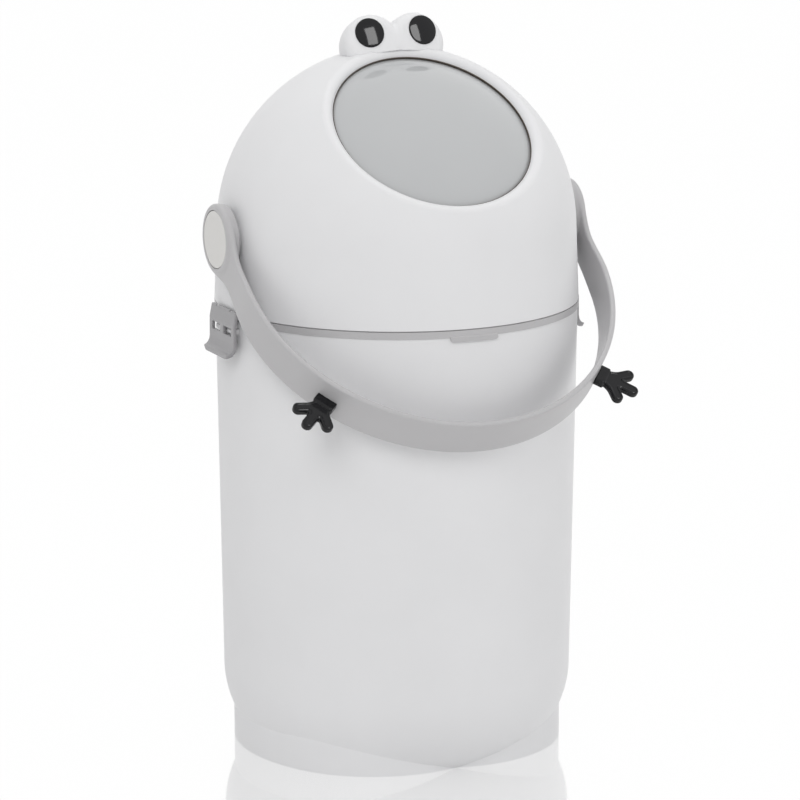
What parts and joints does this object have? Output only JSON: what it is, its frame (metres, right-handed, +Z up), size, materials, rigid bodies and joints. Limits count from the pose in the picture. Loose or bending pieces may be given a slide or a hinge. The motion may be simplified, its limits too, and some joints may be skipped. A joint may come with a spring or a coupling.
{
  "type": "nappy bin",
  "caption": "Tall round nappy bin with a lift-off domed head, a round tilted opening, a ball with a cup that a bail handle turns, and side clips.",
  "frame": {"origin": "on the floor under the bucket's axis, in the plane of the flat underside", "axes": "+Z up along the bucket's axis, -Y towards the opening and the front of the handle, X along the handle's axis"},
  "size_m": [0.314, 0.3254, 0.5896],
  "materials": {
    "white_shell": "smooth white moulded plastic with a soft gloss",
    "ball_shell": "glossy pale grey moulded plastic",
    "grey_band": "satin mid grey moulded plastic",
    "clip_grey": "satin darker grey moulded plastic",
    "cap_grey": "satin light grey moulded plastic",
    "black_gloss": "deep glossy black moulded plastic",
    "seal_rubber": "soft brown-grey sealing rubber",
    "screw_steel": "plain bright steel"
  },
  "bodies": {
    "bucket": {"bucket": "white_shell"},
    "head": {"dome": "white_shell", "lower_shell": "ball_shell", "outlet_ring": "ball_shell", "collar_ring": "grey_band", "ring_gasket": "seal_rubber", "opening_seal": "seal_rubber", "outlet_seal": "seal_rubber", "left_bearing": "cap_grey", "right_bearing": "cap_grey", "eye_housing": "white_shell", "left_pupil": "black_gloss", "right_pupil": "black_gloss", "eye_screws": "screw_steel", "shell_screws": "screw_steel", "left_clip_pin": "screw_steel", "right_clip_pin": "screw_steel"},
    "rotor": {"ball_cover": "ball_shell", "ball_base": "ball_shell", "mouth_ring": "seal_rubber", "chamber_cup": "white_shell", "left_axle": "cap_grey", "right_axle": "cap_grey", "handle": "grey_band", "left_hub_cap": "cap_grey", "right_hub_cap": "cap_grey", "handle_screws": "screw_steel", "left_hand": "black_gloss", "right_hand": "black_gloss"},
    "left_clip": {"left_clip": "clip_grey"},
    "right_clip": {"right_clip": "clip_grey"}
  },
  "joints": [
    {"name": "head_lift", "type": "slide", "parent": "bucket", "child": "head", "axis": [0, 0, 1], "range_m": [0, 0.14]},
    {"name": "handle_turn", "type": "hinge", "parent": "head", "child": "rotor", "pos_m": [0, 0, 0.4204], "axis": [-1, 0, 0], "range_deg": [0, 180]},
    {"name": "left_clip_swing", "type": "hinge", "parent": "head", "child": "left_clip", "pos_m": [-0.1479, 0, 0.364], "axis": [0, 1, 0], "range_deg": [0, 35]},
    {"name": "right_clip_swing", "type": "hinge", "parent": "head", "child": "right_clip", "pos_m": [0.1479, 0, 0.364], "axis": [0, -1, 0], "range_deg": [0, 35]}
  ]
}
